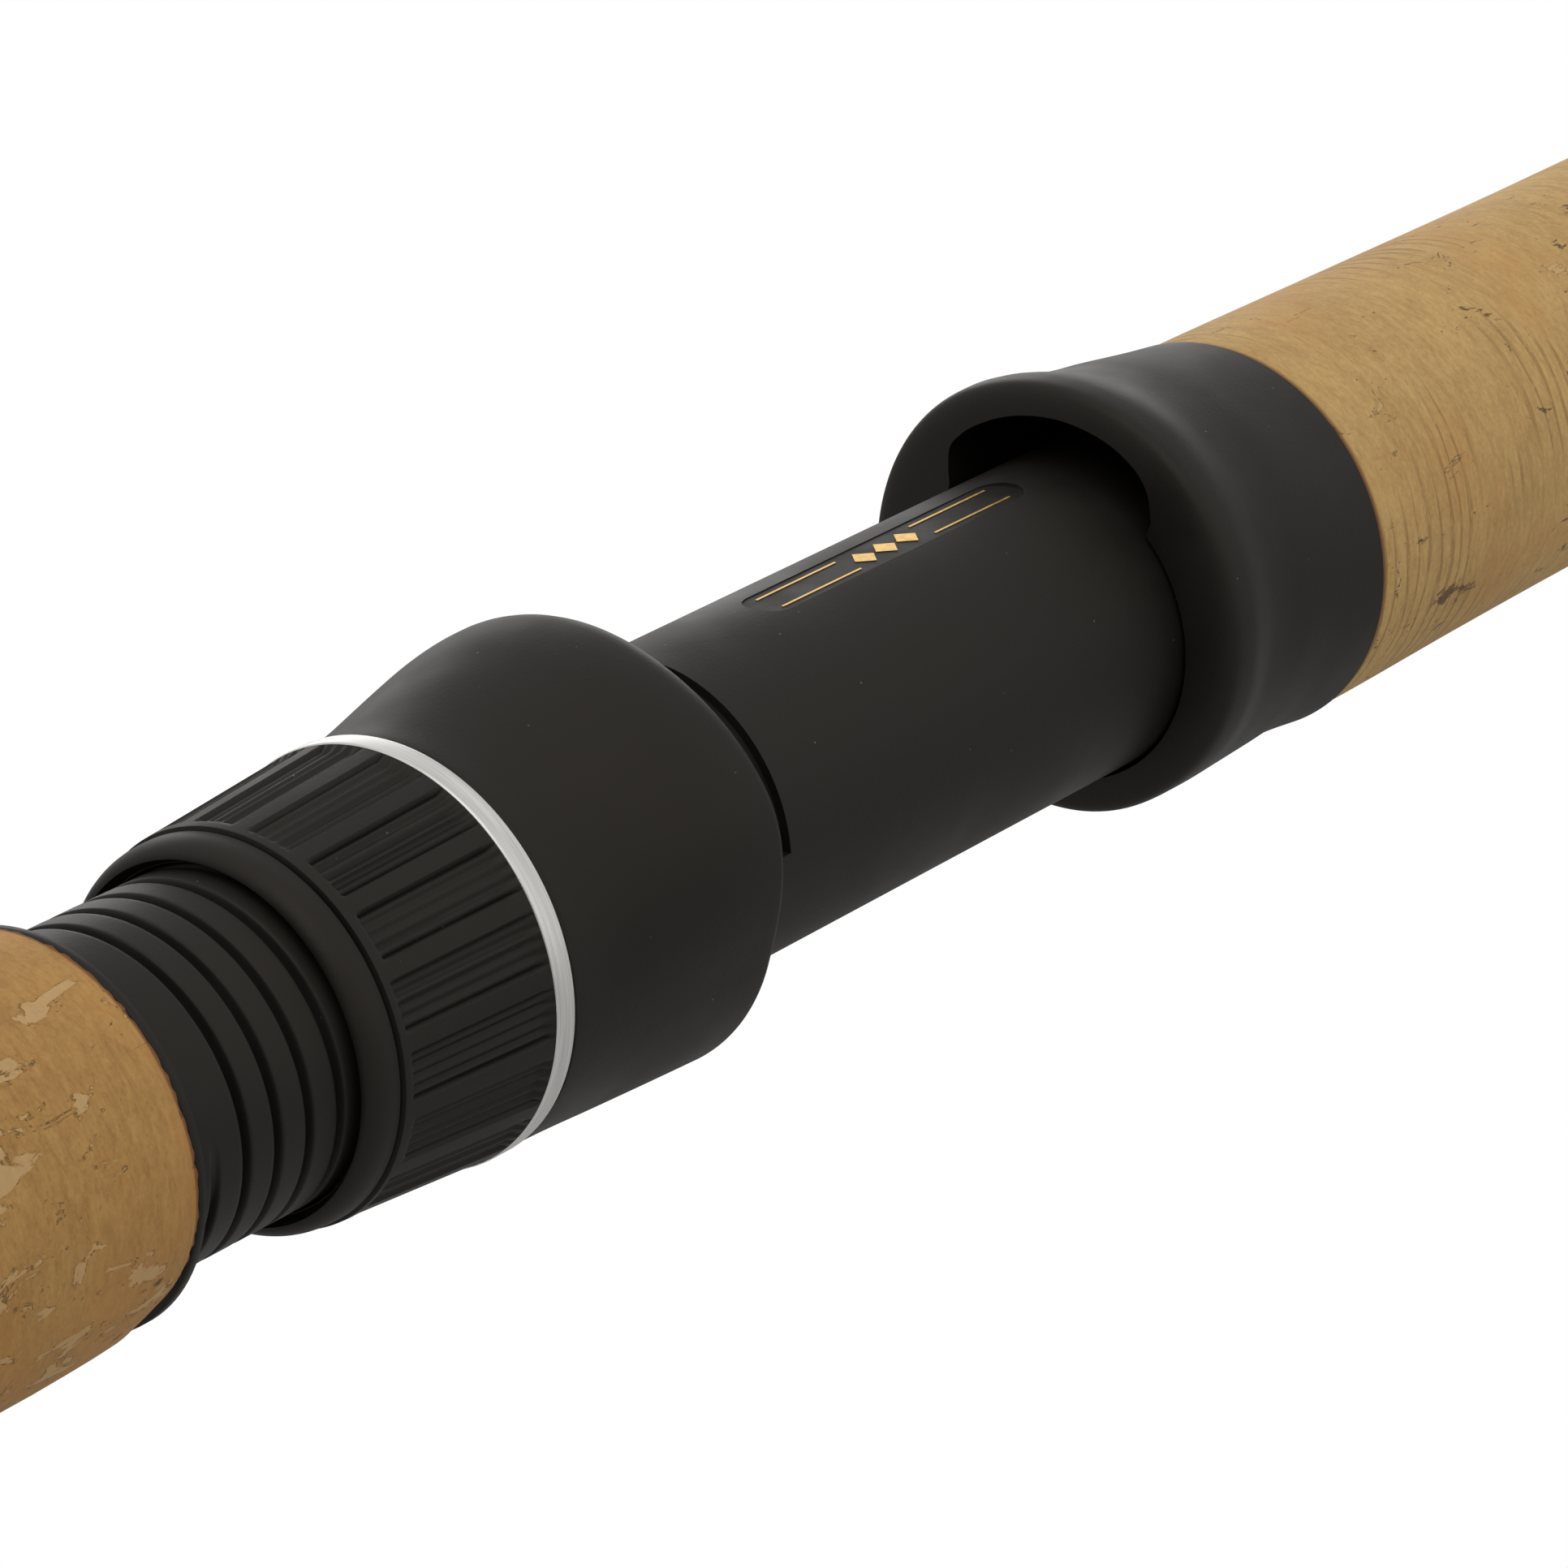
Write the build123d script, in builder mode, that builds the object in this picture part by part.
from build123d import *
from math import asin, ceil, cos, degrees, radians, sin
import os

# A two-piece fishing rod with cork grips, a hooded reel seat and ringed line guides.
# Millimetres. The rod lies along X, from the butt at X = 0 to the tip.
# +Z is the side of the reel foot and of the guides.

# ---- overall sizes ----
rod_length = 1830.0
rear_grip_length = 267.0
fore_grip_length = 152.0
seat_length = 137.8

# ---- blank: two tapered tubes joined by a spigot ----
butt_section_length = 935.0
blank_butt_radius = 7.75
blank_ferrule_radius = 5.2
blank_tip_radius = 1.1
wall_at_butt = 1.6
wall_at_ferrule = 1.3
wall_at_tip = 0.6
spigot_hold = 100.0
spigot_gap = 4.0
spigot_running_clearance = 0.05
spigot_wall = 1.4
whipping_length = 30.0
thread_wrap_thickness = 0.55

# ---- butt cap and grips ----
cap_wall = 5.0
cap_length = 24.0
cap_step = 0.2
cap_skirt = 2.2
cap_corner = 3.0
rear_grip_rise = 0.4
rear_grip_shoulder_height = 2.2
rear_grip_shoulder_length = 9.0
rear_grip_edge = 0.2
fore_grip_step = 0.25
fore_grip_fall = 3.5
fore_grip_barrel_length = 91.2
fore_grip_barrel_fall = 0.6
fore_grip_edge = 2.5
check_length = 4.0
check_step = 2.4
check_taper = 1.5

# ---- reel seat barrel ----
# Every height below is measured outward from the barrel's surface.
barrel_bore_radius = 11.0
barrel_wall = 1.8
flange_thickness = 0.9
flange_height = 1.95
arbor_length = 18.0
arbor_inset = 10.0

# ---- thread of the barrel and of the nut ----
thread_pitch = 3.175
thread_start = 3.8
thread_end_gap = 0.77
thread_start_angle = 90.0
groove_depth = 0.8
groove_mouth = 1.2
groove_root = 0.55
nut_thread_start_gap = 1.0
nut_thread_end_gap = 1.7
nut_thread_engagement = 0.45
nut_thread_flank_clearance = 0.14
nut_running_clearance = 0.25
thread_root_overlap = 0.2

# ---- lock nut and slip ring, placed from the butt end of the seat ----
nut_start = 17.65
nut_length = 17.8
nut_travel_back_turns = 4.3
nut_travel_forward_turns = 1.35
nut_mouth_height = 0.8
nut_mouth_depth = 1.0
nut_collar_height = 1.95
nut_collar_length = 2.9
nut_collar_round = 0.95
nut_rib_start_height = 2.2
nut_rib_end_height = 3.3
nut_rib_count = 18
nut_rib_phase = 11.5
nut_rib_recess_angle = 13.5
nut_rib_recess_depth = 0.4
nut_rib_recess_inset = 0.9
neck_length = 6.6
neck_wall = 1.1
neck_bead = 0.4
neck_bead_length = 1.0
neck_clearance = 0.15
slip_ring_length = 2.0
slip_ring_proud = 0.1
slip_ring_edge = 0.3

# ---- movable hood ----
hood_gap = 0.2
hood_length = 21.7
hood_base_height = 3.25
hood_mouth_low_height = 4.2
hood_mouth_high_height = 5.5
hood_crown_high_height = 6.1
hood_crown_set_back = 3.4
hood_waist_high_height = 3.5
hood_waist_set_back = 17.0
hood_shoulder_high_height = 5.1
hood_shoulder_set_back = 9.6
hood_edge = 0.8
hood_sliding_clearance = 0.3

# ---- key of the movable hood and its recess in the barrel ----
key_length = 11.0
key_set_back = 9.9
key_half_angle = 86.0
key_side_clearance_angle = 3.0
key_floor_clearance = 0.15
recess_depth = 0.7
recess_gap_back = 0.75
recess_gap_front = 1.3

# ---- pockets for the reel foot, one in each hood ----
pocket_height = 4.15
pocket_width = 20.4
pocket_corner = 7.5
pocket_reach = 4.9
pocket_straight = 6.5
pocket_length = 15.5
pocket_end_height = 0.9

# ---- fixed hood ----
fixed_hood_length = 22.7
fixed_lip_high_height = 6.1
fixed_lip_low_height = 3.1
fixed_crown_high_height = 6.7
fixed_crown_low_height = 3.4
fixed_crown_set_back = 4.5
fixed_waist_high_height = 5.16
fixed_waist_low_height = 2.95
fixed_waist_set_back = 16.0
fixed_end_height = 3.55
fixed_lip_edge = 1.4

# ---- badge ----
badge_gap_rear = 12.45
badge_gap_front = 4.1
badge_width = 4.2
badge_depth = 0.45
badge_sunk = 0.25

# ---- line guides ----
guide_ring_bores = (25.0, 20.0, 16.0, 12.0, 10.0, 8.0)
butt_guide_before_ferrule = 148.4
tip_guide_after_wrap = 87.7
guide_spacing_growth = 1.22
ceramic_thickness = 1.1
ceramic_length = 2.0
hoop_thickness = 0.9
hoop_length = 1.3
wire_radius = 0.65
guide_rise = 3.0
guide_rise_share = 0.4
foot_length = 15.0
foot_thickness = 1.0
foot_tip_thickness = 0.35
foot_width = 3.2
leg_spread = 5.0
leg_spread_share = 0.35
leg_root_share = 0.1
leg_root_side_share = 0.3
ceramic_round_share = 0.6
wrap_overhang = 2.0
tip_ring_bore = 8.0
tip_tube_length = 14.0
tip_tube_wall = 0.5
tip_ring_rise = 1.2
tip_leg_inset = 2.0
tip_leg_side_share = 0.6
tip_leg_height_share = 0.7

# ---- hook keeper ----
keeper_after_check = 26.0
keeper_wire_radius = 0.6
keeper_loop_length = 9.0
keeper_loop_height = 6.2
keeper_foot = 9.0
keeper_bend = 1.5
keeper_wrap_length = 8.0

# ---- radii that follow the barrel ----
barrel_radius = barrel_bore_radius + barrel_wall
flange_radius = barrel_radius + flange_height
rear_grip_shoulder_radius = barrel_radius + rear_grip_shoulder_height
rear_grip_radius = rear_grip_shoulder_radius + rear_grip_rise
cap_radius = rear_grip_radius - cap_step
fixed_end_radius = barrel_radius + fixed_end_height
fore_grip_radius = fixed_end_radius - fore_grip_step
fore_grip_end_radius = fore_grip_radius - fore_grip_fall
check_radius = fore_grip_end_radius - check_step
hood_bore_radius = barrel_radius + hood_sliding_clearance
nut_bore_radius = barrel_radius + nut_running_clearance
nut_rib_start_radius = barrel_radius + nut_rib_start_height
nut_rib_end_radius = barrel_radius + nut_rib_end_height

# ---- places along the rod ----
seat_x = cap_wall + rear_grip_length
seat_end_x = seat_x + seat_length
fore_grip_end_x = seat_end_x + fore_grip_length
check_end_x = fore_grip_end_x + check_length
tip_section_x = butt_section_length + spigot_gap
tip_ring_x = rod_length - ceramic_length / 2
blank_end_x = rod_length - ceramic_length
nut_x = seat_x + nut_start
nut_end_x = nut_x + nut_length
hood_x = nut_end_x + slip_ring_length + hood_gap
hood_mouth_x = hood_x + hood_length
fixed_mouth_x = seat_end_x - fixed_hood_length
key_x = hood_mouth_x - key_set_back
recess_x = key_x - nut_travel_back_turns * thread_pitch - recess_gap_back
recess_end_x = key_x + key_length + nut_travel_forward_turns * thread_pitch + recess_gap_front
badge_x = recess_end_x + badge_gap_rear
badge_length = fixed_mouth_x - badge_gap_front - badge_x
thread_x = seat_x + thread_start
thread_turns = (recess_x - thread_end_gap - thread_x) / thread_pitch

os.makedirs("parts", exist_ok=True)


def along(x, x0, r0, x1, r1):
    """Radius at x on the straight line from (x0, r0) to (x1, r1)."""
    return r0 + (r1 - r0) * (x - x0) / (x1 - x0)


def blank_radius(x):
    """Outside radius of the blank at x."""
    if x <= butt_section_length:
        return along(x, 0, blank_butt_radius, butt_section_length, blank_ferrule_radius)
    return along(x, butt_section_length, blank_ferrule_radius, rod_length, blank_tip_radius)


def blank_bore(x):
    """Inside radius of the blank at x."""
    if x <= butt_section_length:
        wall = along(x, 0, wall_at_butt, butt_section_length, wall_at_ferrule)
    else:
        wall = along(x, butt_section_length, wall_at_ferrule, rod_length, wall_at_tip)
    return blank_radius(x) - wall


def meridian(angle=0.0):
    """Plane through the rod's axis: local x is X, local y points out at angle from +Z."""
    outward = Vector(0, -sin(radians(angle)), cos(radians(angle)))
    return Plane(origin=(0, 0, 0), x_dir=(1, 0, 0), z_dir=Vector(1, 0, 0).cross(outward))


def save(piece, label):
    """Name a finished piece and write its STEP file."""
    piece.part.label = label
    export_step(piece.part, f"parts/{label}.step")


def turned(*points):
    """Solid of revolution about the rod's axis from (x, radius) points."""
    with BuildPart() as piece:
        with BuildSketch(meridian()):
            Polygon(*points, align=None)
        revolve(axis=Axis.X)
    return piece


def sleeve(x0, x1, radius0, radius1):
    """A sleeve that fits the blank from x0 to x1."""
    return turned((x0, blank_radius(x0)), (x1, blank_radius(x1)), (x1, radius1), (x0, radius0))


def cut_sector(points, half_angle, centre=0.0):
    """Inside a part: remove the (x, radius) outline turned through a sector."""
    with BuildSketch(meridian(centre - half_angle)) as outline:
        Polygon(*points, align=None)
    revolve(outline.sketch, Axis.X, 2 * half_angle, mode=Mode.SUBTRACT)


def cut_blank(x0, x1):
    """Inside a part: remove the space of the blank from x0 to x1."""
    with BuildSketch(meridian()) as outline:
        Polygon((x0, 0), (x1, 0), (x1, blank_radius(x1)), (x0, blank_radius(x0)), align=None)
    revolve(outline.sketch, Axis.X, mode=Mode.SUBTRACT)


def raised_circle(x, low_height, high_height):
    """A round section at x, low_height above the barrel at -Z and high_height above it at +Z."""
    with BuildSketch(Plane.YZ.offset(x)) as section:
        with Locations((0, (high_height - low_height) / 2)):
            Circle(barrel_radius + (high_height + low_height) / 2)
    return section.sketch


def thread_path(x, turns, radius):
    """Right-hand helix about the rod's axis that starts at x."""
    with BuildLine() as helix:
        Helix(thread_pitch, thread_pitch * turns, radius, center=(x, 0, 0), direction=(1, 0, 0))
    return helix.wires()[0].rotate(Axis.X, thread_start_angle)


def thread_profile(path, radius, mouth, root, depth):
    """A trapezium across a helix about X: mouth at radius, root at radius - depth."""
    start = path @ 0
    outward = Vector(0, start.Y, start.Z)
    high = radius - outward.length
    low = high - depth
    with BuildSketch(Plane(origin=start, x_dir=outward, z_dir=path % 0)) as section:
        Polygon(
            (high, mouth / 2), (high, -mouth / 2), (low, -root / 2), (low, root / 2),
            align=None,
        )
    return section.sketch


# ================= grips =================

# Rubber cap: a cup over the turned-down end of the rear grip.
cork_tenon_radius = cap_radius - cap_skirt
with BuildPart() as butt_cap:
    with BuildSketch(meridian()):
        Polygon(
            (0, 0), (cap_length, 0), (cap_length, cap_radius), (0, cap_radius),
            align=None,
        )
    revolve(axis=Axis.X)
    fillet(butt_cap.edges().filter_by(GeomType.CIRCLE).group_by(Axis.X)[0], cap_corner)
    with BuildSketch(meridian()):
        Polygon(
            (cap_wall, 0), (cap_length, 0),
            (cap_length, cork_tenon_radius), (cap_wall, cork_tenon_radius),
            align=None,
        )
    revolve(axis=Axis.X, mode=Mode.SUBTRACT)
save(butt_cap, "butt_cap")

# Cork rings glued on the blank and turned as one: tenon, cylinder, then an eased shoulder.
shoulder_x = seat_x - rear_grip_shoulder_length
rear_grip = turned(
    (cap_wall, blank_radius(cap_wall)),
    (seat_x, blank_radius(seat_x)),
    (seat_x, rear_grip_shoulder_radius - rear_grip_edge),
    (seat_x - rear_grip_edge, rear_grip_shoulder_radius),
    (shoulder_x, rear_grip_radius),
    (cap_length, rear_grip_radius),
    (cap_length, cork_tenon_radius),
    (cap_wall, cork_tenon_radius),
)
save(rear_grip, "rear_grip")

fore_grip = turned(
    (seat_end_x, blank_radius(seat_end_x)),
    (fore_grip_end_x, blank_radius(fore_grip_end_x)),
    (fore_grip_end_x, fore_grip_end_radius - fore_grip_edge),
    (fore_grip_end_x - fore_grip_edge, fore_grip_end_radius),
    (seat_end_x + fore_grip_barrel_length, fore_grip_radius - fore_grip_barrel_fall),
    (seat_end_x, fore_grip_radius),
)
save(fore_grip, "fore_grip")

winding_check = sleeve(fore_grip_end_x, check_end_x, check_radius, check_radius - check_taper)
save(winding_check, "winding_check")

# ================= blank =================

blank_butt = turned(
    (cap_wall, blank_bore(cap_wall)),
    (butt_section_length, blank_bore(butt_section_length)),
    (butt_section_length, blank_radius(butt_section_length)),
    (cap_wall, blank_radius(cap_wall)),
)
save(blank_butt, "blank_butt")

blank_tip = turned(
    (tip_section_x, blank_bore(tip_section_x)),
    (blank_end_x, blank_bore(blank_end_x)),
    (blank_end_x, blank_radius(blank_end_x)),
    (tip_section_x, blank_radius(tip_section_x)),
)
save(blank_tip, "blank_tip")

# Hollow spigot: glued in the butt section, a running fit in the tip section.
spigot_x = butt_section_length - spigot_hold
spigot_end_x = tip_section_x + spigot_hold
spigot_end_radius = blank_bore(spigot_end_x) - spigot_running_clearance
ferrule_spigot = turned(
    (spigot_x, blank_bore(spigot_x) - spigot_wall),
    (spigot_end_x, spigot_end_radius - spigot_wall),
    (spigot_end_x, spigot_end_radius),
    (butt_section_length, blank_bore(butt_section_length) - spigot_running_clearance),
    (butt_section_length, blank_bore(butt_section_length)),
    (spigot_x, blank_bore(spigot_x)),
)
save(ferrule_spigot, "ferrule_spigot")

# Thread whippings that stop both ends at the joint from splitting.
for label, wrap_x in (
    ("ferrule_wrap_butt", butt_section_length - whipping_length),
    ("ferrule_wrap_tip", tip_section_x),
):
    wrap_end = wrap_x + whipping_length
    whipping = sleeve(
        wrap_x,
        wrap_end,
        blank_radius(wrap_x) + thread_wrap_thickness,
        blank_radius(wrap_end) + thread_wrap_thickness,
    )
    save(whipping, label)

# ================= reel seat =================

with BuildPart() as seat_barrel:
    with BuildSketch(meridian()):
        Polygon(
            (seat_x, barrel_bore_radius),
            (seat_end_x, barrel_bore_radius),
            (seat_end_x, barrel_radius),
            (seat_x + flange_thickness, barrel_radius),
            (seat_x + flange_thickness, flange_radius),
            (seat_x, flange_radius),
            align=None,
        )
    revolve(axis=Axis.X)
    # recess in which the hood's key slides
    recess_floor = barrel_radius - recess_depth
    cut_sector(
        (
            (recess_x, recess_floor),
            (recess_end_x, recess_floor),
            (recess_end_x, barrel_radius + 1),
            (recess_x, barrel_radius + 1),
        ),
        key_half_angle + key_side_clearance_angle,
    )
    # shallow round-ended recess for the badge
    with BuildSketch(Plane.XY.offset(barrel_radius - badge_depth)):
        with Locations((badge_x + badge_length / 2, 0)):
            SlotOverall(badge_length, badge_width)
    extrude(amount=badge_depth + 1, mode=Mode.SUBTRACT)
    # right-hand thread
    barrel_path = thread_path(thread_x, thread_turns, barrel_radius)
    groove = thread_profile(
        barrel_path,
        barrel_radius + thread_root_overlap,
        groove_mouth,
        groove_root,
        groove_depth + thread_root_overlap,
    )
    sweep(groove, barrel_path, is_frenet=True, mode=Mode.SUBTRACT)
save(seat_barrel, "seat_barrel")

# Printed strip that lies in the badge recess.
with BuildPart() as seat_badge:
    with BuildSketch(Plane.XY.offset(barrel_radius - badge_depth)):
        with Locations((badge_x + badge_length / 2, 0)):
            SlotOverall(badge_length, badge_width)
    extrude(amount=badge_depth - badge_sunk)
save(seat_badge, "seat_badge")

# Bushes that centre the barrel on the blank.
for label, arbor_x in (
    ("seat_arbor_rear", seat_x + arbor_inset),
    ("seat_arbor_front", seat_end_x - arbor_inset - arbor_length),
):
    arbor = sleeve(arbor_x, arbor_x + arbor_length, barrel_bore_radius, barrel_bore_radius)
    save(arbor, label)


pocket_half_angle = degrees(asin(pocket_width / 2 / barrel_radius))


def pocket(mouth_x, inward):
    """The arched space in a hood that takes one end of a reel foot; its roof slopes down inside."""
    roof = barrel_radius + pocket_height
    end_x = mouth_x + inward * pocket_length
    with BuildPart() as space:
        with BuildSketch(Plane.YZ.offset(min(mouth_x - inward, end_x))):
            with Locations((0, roof / 2)):
                RectangleRounded(pocket_width, roof, pocket_corner)
        extrude(amount=pocket_length + 1)
        with BuildSketch(meridian()):
            Polygon(
                (mouth_x - inward, 0),
                (end_x, 0),
                (end_x, barrel_radius + pocket_end_height),
                (mouth_x + inward * pocket_straight, barrel_radius + pocket_reach),
                (mouth_x - inward, barrel_radius + pocket_reach),
                align=None,
            )
        revolve(axis=Axis.X, mode=Mode.INTERSECT)
    return space.part


# Fixed hood: thick rolled lip, waist, then a collar against the fore grip.
crown_x = fixed_mouth_x + fixed_crown_set_back
waist_x = fixed_mouth_x + fixed_waist_set_back
with BuildPart() as fixed_hood:
    loft(
        [
            raised_circle(fixed_mouth_x, fixed_lip_low_height, fixed_lip_high_height),
            raised_circle(crown_x, fixed_crown_low_height, fixed_crown_high_height),
            raised_circle(waist_x, fixed_waist_low_height, fixed_waist_high_height),
            raised_circle(seat_end_x, fixed_end_height, fixed_end_height),
        ]
    )
    fillet(fixed_hood.edges().group_by(Axis.X)[0], fixed_lip_edge)
    with BuildSketch(Plane.YZ.offset(fixed_mouth_x)):
        Circle(barrel_radius)
    extrude(amount=fixed_hood_length, mode=Mode.SUBTRACT)
    add(pocket(fixed_mouth_x, 1), mode=Mode.SUBTRACT)
save(fixed_hood, "fixed_hood")

# Movable hood: flared cap with a snap neck that the lock nut turns on.
neck_radius = hood_bore_radius + neck_wall
bead_radius = neck_radius + neck_bead
neck_x = hood_x - neck_length
with BuildPart() as movable_hood:
    loft(
        [
            raised_circle(
                hood_mouth_x - set_back,
                along(set_back, 0, hood_mouth_low_height, hood_length, hood_base_height),
                high_height,
            )
            for set_back, high_height in (
                (hood_length, hood_base_height),
                (hood_waist_set_back, hood_waist_high_height),
                (hood_shoulder_set_back, hood_shoulder_high_height),
                (hood_crown_set_back, hood_crown_high_height),
                (0, hood_mouth_high_height),
            )
        ]
    )
    fillet(movable_hood.edges().group_by(Axis.X)[-1], hood_edge)
    with BuildSketch(meridian()):
        Polygon(
            (neck_x, 0),
            (hood_x + 1, 0),
            (hood_x + 1, neck_radius),
            (neck_x + neck_bead_length, neck_radius),
            (neck_x + neck_bead_length, bead_radius),
            (neck_x, bead_radius),
            align=None,
        )
    revolve(axis=Axis.X)
    with BuildSketch(Plane.YZ.offset(neck_x)):
        Circle(hood_bore_radius)
    extrude(amount=neck_length + hood_length, mode=Mode.SUBTRACT)
    add(pocket(hood_mouth_x, -1), mode=Mode.SUBTRACT)
save(movable_hood, "movable_hood")

# Key: a half-shell bonded in the hood that slides in the barrel's recess, so the hood can't turn.
with BuildPart() as hood_key:
    with BuildSketch(meridian(-key_half_angle)):
        Polygon(
            (key_x, recess_floor + key_floor_clearance),
            (key_x + key_length, recess_floor + key_floor_clearance),
            (key_x + key_length, barrel_radius),
            (hood_mouth_x - 1, hood_bore_radius),
            (key_x, hood_bore_radius),
            align=None,
        )
    revolve(axis=Axis.X, revolution_arc=2 * key_half_angle)
    cut_sector(
        (
            (key_x - 1, barrel_radius),
            (key_x + key_length + 1, barrel_radius),
            (key_x + key_length + 1, hood_bore_radius + 1),
            (key_x - 1, hood_bore_radius + 1),
        ),
        pocket_half_angle + key_side_clearance_angle,
    )
save(hood_key, "hood_key")

# Lock nut: smooth collar, ribbed skirt, internal thread and a snap seat for the hood's neck.
nut_mouth_radius = barrel_radius + nut_mouth_height
nut_collar_radius = barrel_radius + nut_collar_height
rib_x = nut_x + nut_collar_length
seat_groove_x = neck_x - neck_clearance
seat_lip_x = neck_x + neck_bead_length + neck_clearance
with BuildPart() as lock_nut:
    with BuildSketch(meridian()):
        Polygon(
            (nut_x, nut_mouth_radius),
            (nut_x, nut_collar_radius),
            (rib_x, nut_collar_radius),
            (rib_x, nut_rib_start_radius),
            (nut_end_x, nut_rib_end_radius),
            (nut_end_x, neck_radius + neck_clearance),
            (seat_lip_x, neck_radius + neck_clearance),
            (seat_lip_x, bead_radius + neck_clearance),
            (seat_groove_x, bead_radius + neck_clearance),
            (seat_groove_x, nut_bore_radius),
            (nut_x + nut_mouth_depth, nut_bore_radius),
            align=None,
        )
    revolve(axis=Axis.X)
    collar_edge = lock_nut.edges().group_by(Axis.X)[0].sort_by(SortBy.RADIUS)[-1]
    fillet(collar_edge, nut_collar_round)
    for rib in range(nut_rib_count):
        cut_sector(
            (
                (rib_x + nut_rib_recess_inset, nut_rib_start_radius - nut_rib_recess_depth),
                (nut_end_x, nut_rib_end_radius - nut_rib_recess_depth),
                (nut_end_x, nut_rib_end_radius + 1),
                (rib_x + nut_rib_recess_inset, nut_rib_start_radius + 1),
            ),
            nut_rib_recess_angle / 2,
            nut_rib_phase + rib * 360 / nut_rib_count,
        )
    # the ridge starts in the first whole groove past the nut's mouth
    ridge_limit = nut_x + nut_mouth_depth + nut_thread_start_gap
    ridge_x = thread_x + ceil((ridge_limit - thread_x) / thread_pitch) * thread_pitch
    ridge_turns = (seat_groove_x - nut_thread_end_gap - ridge_x) / thread_pitch
    nut_path = thread_path(ridge_x, ridge_turns, nut_bore_radius)
    ridge = thread_profile(
        nut_path,
        nut_bore_radius + thread_root_overlap,
        groove_mouth - 2 * nut_thread_flank_clearance,
        groove_root - 2 * nut_thread_flank_clearance,
        nut_running_clearance + nut_thread_engagement + thread_root_overlap,
    )
    sweep(ridge, nut_path, is_frenet=True)
save(lock_nut, "lock_nut")

# Slip ring: aluminium washer carried on the nut's end.
with BuildPart() as slip_ring:
    with BuildSketch(Plane.YZ.offset(nut_end_x)):
        Circle(nut_rib_end_radius + slip_ring_proud)
        Circle(neck_radius + neck_clearance, mode=Mode.SUBTRACT)
    extrude(amount=slip_ring_length)
    outer_edges = slip_ring.edges().filter_by(GeomType.CIRCLE).group_by(SortBy.RADIUS)[-1]
    fillet(outer_edges, slip_ring_edge)
save(slip_ring, "slip_ring")

# ================= line guides =================


def ceramic_ring(x, z, bore_radius, label):
    """Hard ring that the line runs through, rounded inside."""
    with BuildPart() as ring:
        with BuildSketch(Plane.YZ.offset(x - ceramic_length / 2)):
            with Locations((0, z)):
                Circle(bore_radius + ceramic_thickness)
                Circle(bore_radius, mode=Mode.SUBTRACT)
        extrude(amount=ceramic_length)
        inner_edges = ring.edges().filter_by(GeomType.CIRCLE).group_by(SortBy.RADIUS)[0]
        fillet(inner_edges, ceramic_thickness * ceramic_round_share)
    save(ring, label)


def hoop(x, z, inner_radius):
    """Inside a frame: the band round the ceramic ring."""
    with BuildSketch(Plane.YZ.offset(x - hoop_length / 2)) as disc:
        with Locations((0, z)):
            Circle(inner_radius + hoop_thickness)
    extrude(disc.sketch, hoop_length)


def open_hoop(x, z, inner_radius, reach):
    """Inside a frame: clear the ring's seat through the hoop and the ends of the wires."""
    with BuildSketch(Plane.YZ.offset(x - reach)) as disc:
        with Locations((0, z)):
            Circle(inner_radius)
    extrude(disc.sketch, 2 * reach, mode=Mode.SUBTRACT)


def wire(start, end, radius):
    """Inside a frame: a straight round wire from start to end."""
    run = Vector(*end) - Vector(*start)
    with BuildSketch(Plane(origin=start, z_dir=run)) as section:
        Circle(radius)
    extrude(section.sketch, run.length)


def foot_outline(leg_x, end_x):
    """Inside a frame: a flat foot that thins towards its end and lies on the blank."""
    with BuildSketch(meridian()) as outline:
        Polygon(
            (leg_x, 0),
            (leg_x, blank_radius(leg_x) + foot_thickness),
            (end_x, blank_radius(end_x) + foot_tip_thickness),
            (end_x, 0),
            align=None,
        )
    extrude(outline.sketch, foot_width / 2, both=True)


def guide(number, x, bore):
    """One line guide: ceramic ring, wire frame on two feet, and the wraps that hold the feet."""
    inner = bore / 2 + ceramic_thickness
    z = blank_radius(x) + guide_rise + bore * guide_rise_share + inner + hoop_thickness
    spread = leg_spread + bore * leg_spread_share
    ceramic_ring(x, z, bore / 2, f"guide_{number}_ring")

    feet = ((x - spread, x - spread - foot_length), (x + spread, x + spread + foot_length))
    hoop_side = (inner + hoop_thickness / 2) * cos(radians(45))
    with BuildPart() as frame:
        for leg_x, end_x in feet:
            foot_outline(leg_x, end_x)
        cut_blank(feet[0][1] - 1, feet[1][1] + 1)
        hoop(x, z, inner)
        for leg_x, end_x in feet:
            for side in (-1, 1):
                foot_top = blank_radius(leg_x) + wire_radius
                root_x = leg_x + (end_x - leg_x) * leg_root_share
                root = (root_x, side * foot_width * leg_root_side_share, foot_top)
                wire(root, (x, side * hoop_side, z - hoop_side), wire_radius)
        open_hoop(x, z, inner, hoop_length * 2)
        cut_blank(feet[0][1] - 1, feet[1][1] + 1)
    save(frame, f"guide_{number}_frame")

    with BuildPart() as wraps:
        for leg_x, end_x in feet:
            low_x = min(leg_x, end_x)
            if end_x < leg_x:
                low_x = low_x - wrap_overhang
            radius = blank_radius(low_x)
            with BuildSketch(Plane.YZ.offset(low_x)):
                Circle(radius + thread_wrap_thickness)
                with Locations((0, radius + foot_thickness / 2)):
                    Rectangle(foot_width + thread_wrap_thickness, foot_thickness + thread_wrap_thickness)
                make_hull()
            extrude(amount=foot_length + wrap_overhang)
        cut_blank(feet[0][1] - 3, feet[1][1] + 3)
        add(frame.part, mode=Mode.SUBTRACT)
    save(wraps, f"guide_{number}_wraps")


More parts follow.
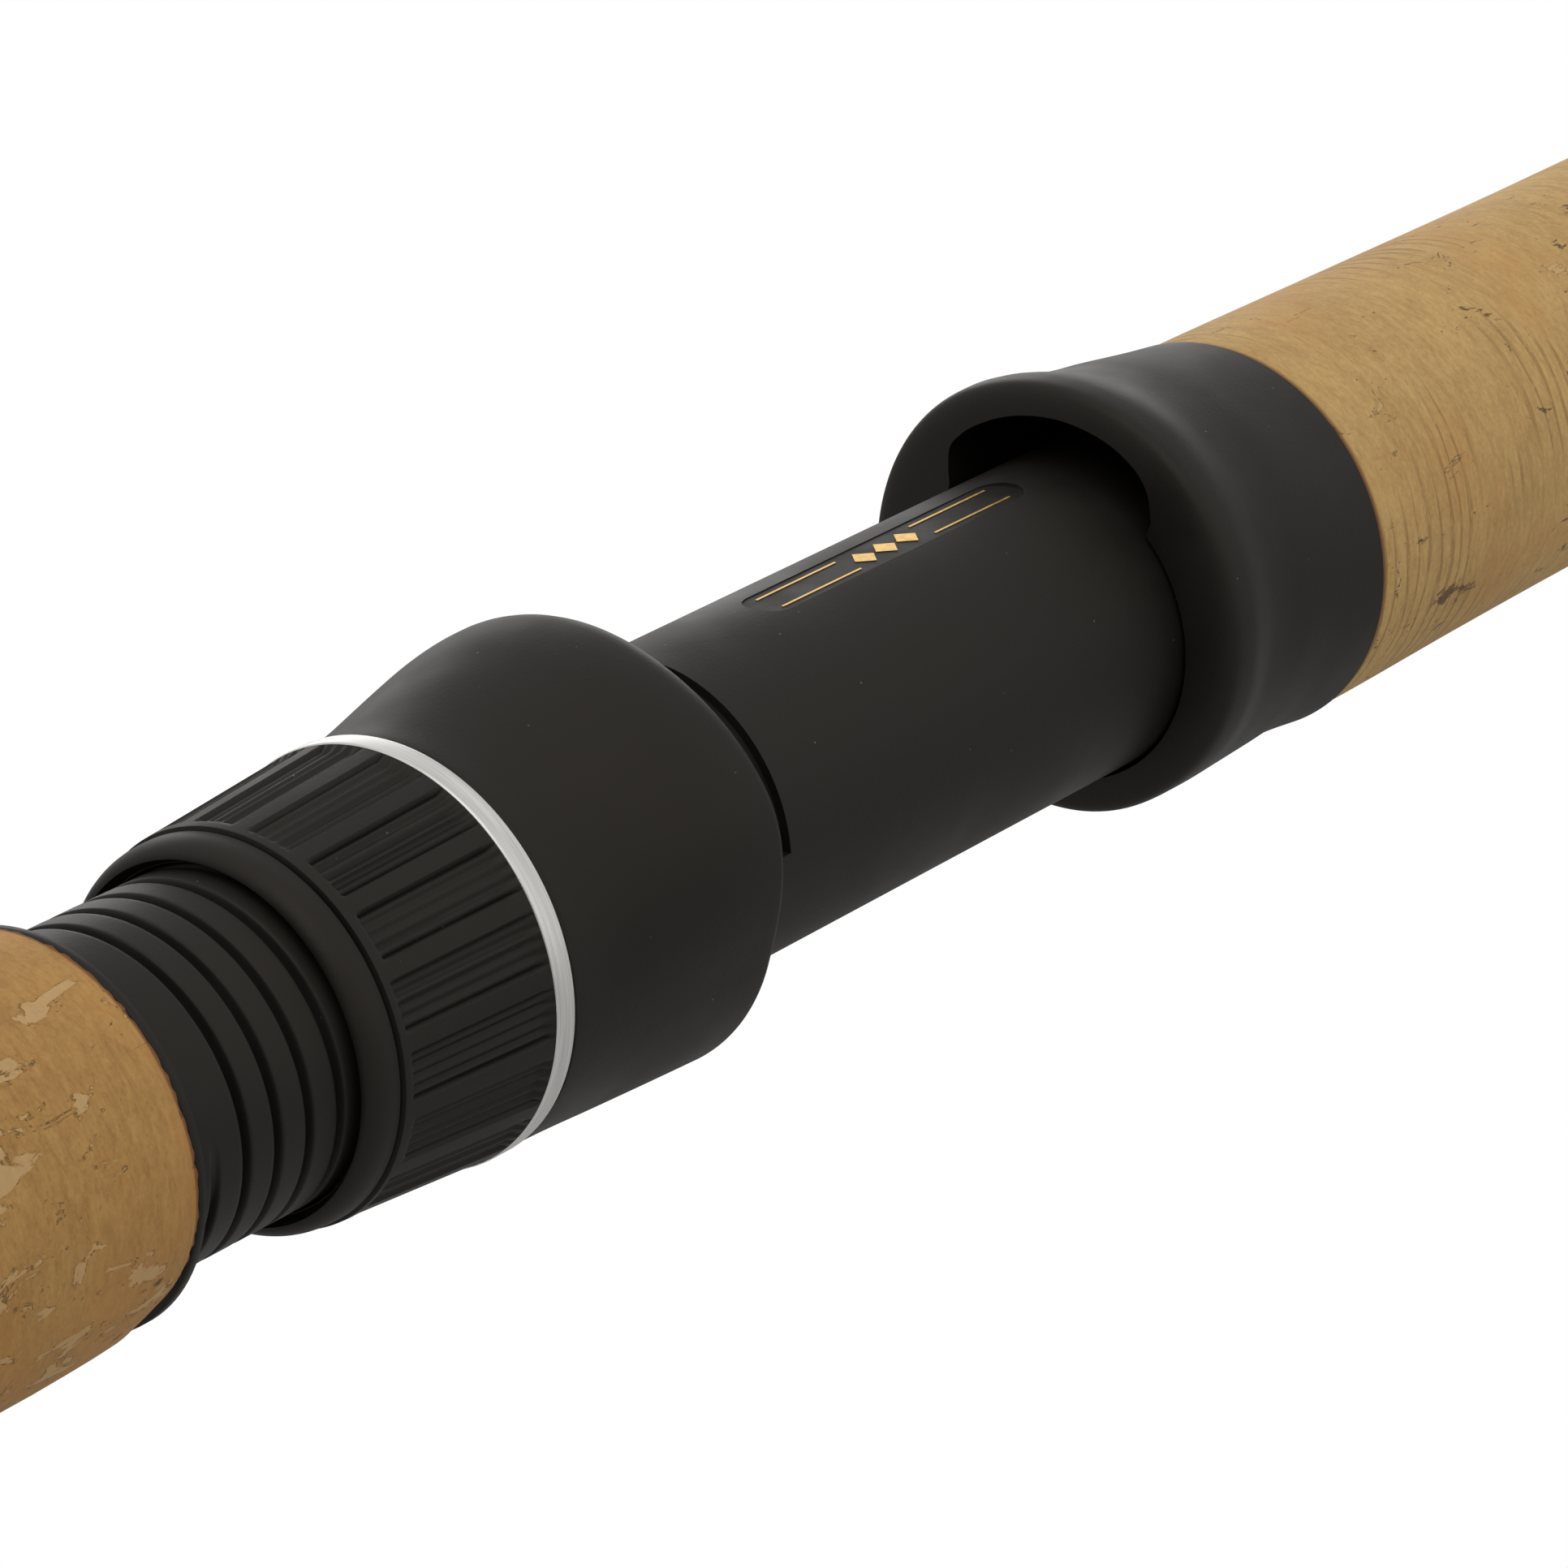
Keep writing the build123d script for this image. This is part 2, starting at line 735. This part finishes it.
# One guide stands before the ferrule. The others get closer together towards the tip.
first_tip_guide_x = tip_section_x + whipping_length + tip_guide_after_wrap
spacing_total = sum(guide_spacing_growth**step for step in range(len(guide_ring_bores) - 1))
guide_step = (rod_length - first_tip_guide_x) / spacing_total
guide_x = rod_length
guide_places = []
for bore in reversed(guide_ring_bores[1:]):
    guide_x = guide_x - guide_step
    guide_step = guide_step * guide_spacing_growth
    guide_places.append((guide_x, bore))
guide_places.append((butt_section_length - butt_guide_before_ferrule, guide_ring_bores[0]))
for number, (place, bore) in enumerate(reversed(guide_places), start=1):
    guide(number, place, bore)
    print(f"guide {number}: x {place:.1f}, bore {bore}")

# Tip-top: a tube glued on the end of the blank that carries the last ring.
tip_inner = tip_ring_bore / 2 + ceramic_thickness
tip_tube_x = blank_end_x - tip_tube_length
tip_tube_radius = blank_radius(tip_tube_x) + tip_tube_wall
tip_ring_z = tip_tube_radius + tip_ring_rise + tip_inner + hoop_thickness
ceramic_ring(tip_ring_x, tip_ring_z, tip_ring_bore / 2, "tip_top_ring")
with BuildPart() as tip_top_frame:
    with BuildSketch(meridian()):
        Polygon(
            (tip_tube_x, 0),
            (tip_ring_x, 0),
            (tip_ring_x, tip_tube_radius),
            (tip_tube_x, tip_tube_radius),
            align=None,
        )
    revolve(axis=Axis.X)
    hoop(tip_ring_x, tip_ring_z, tip_inner)
    tip_hoop_side = (tip_inner + hoop_thickness / 2) * cos(radians(45))
    for side in (-1, 1):
        wire(
            (
                tip_tube_x + tip_leg_inset,
                side * tip_tube_radius * tip_leg_side_share,
                tip_tube_radius * tip_leg_height_share,
            ),
            (tip_ring_x, side * tip_hoop_side, tip_ring_z - tip_hoop_side),
            wire_radius,
        )
    wire(
        (tip_ring_x - hoop_length / 2, 0, 0),
        (tip_ring_x - hoop_length / 2, 0, tip_ring_z - tip_inner - hoop_thickness / 2),
        wire_radius,
    )
    open_hoop(tip_ring_x, tip_ring_z, tip_inner, hoop_length * 2)
    cut_blank(tip_tube_x - 1, blank_end_x)
save(tip_top_frame, "tip_top_frame")

# ================= hook keeper =================

keeper_x = check_end_x + keeper_after_check
keeper_z = -(blank_radius(keeper_x - keeper_loop_length - keeper_foot) + keeper_wire_radius)
loop_half = keeper_loop_length / 2
foot_reach = loop_half + keeper_foot
with BuildPart() as hook_keeper:
    with BuildLine() as keeper_path:
        FilletPolyline(
            (keeper_x - foot_reach, 0, keeper_z),
            (keeper_x - loop_half, 0, keeper_z),
            (keeper_x - loop_half + keeper_bend, 0, keeper_z - keeper_loop_height),
            (keeper_x + loop_half - keeper_bend, 0, keeper_z - keeper_loop_height),
            (keeper_x + loop_half, 0, keeper_z),
            (keeper_x + foot_reach, 0, keeper_z),
            radius=keeper_bend,
        )
    with BuildSketch(Plane(origin=keeper_path.wires()[0] @ 0, z_dir=(1, 0, 0))):
        Circle(keeper_wire_radius)
    sweep(path=keeper_path.wires()[0])
save(hook_keeper, "hook_keeper")

with BuildPart() as hook_keeper_wraps:
    for wrap_x in (keeper_x - foot_reach, keeper_x + foot_reach - keeper_wrap_length):
        radius = blank_radius(wrap_x)
        with BuildSketch(Plane.YZ.offset(wrap_x)):
            Circle(radius + thread_wrap_thickness)
            with Locations((0, keeper_z)):
                Circle(keeper_wire_radius + thread_wrap_thickness)
            make_hull()
        extrude(amount=keeper_wrap_length)
    cut_blank(keeper_x - foot_reach - 1, keeper_x + foot_reach + 1)
    add(hook_keeper.part, mode=Mode.SUBTRACT)
save(hook_keeper_wraps, "hook_keeper_wraps")

print(f"seat from x {seat_x} to {seat_end_x}, hood mouth at x {hood_mouth_x}, nut at x {nut_x}")
print(f"blank at the ferrule: bore {blank_bore(butt_section_length):.2f}")
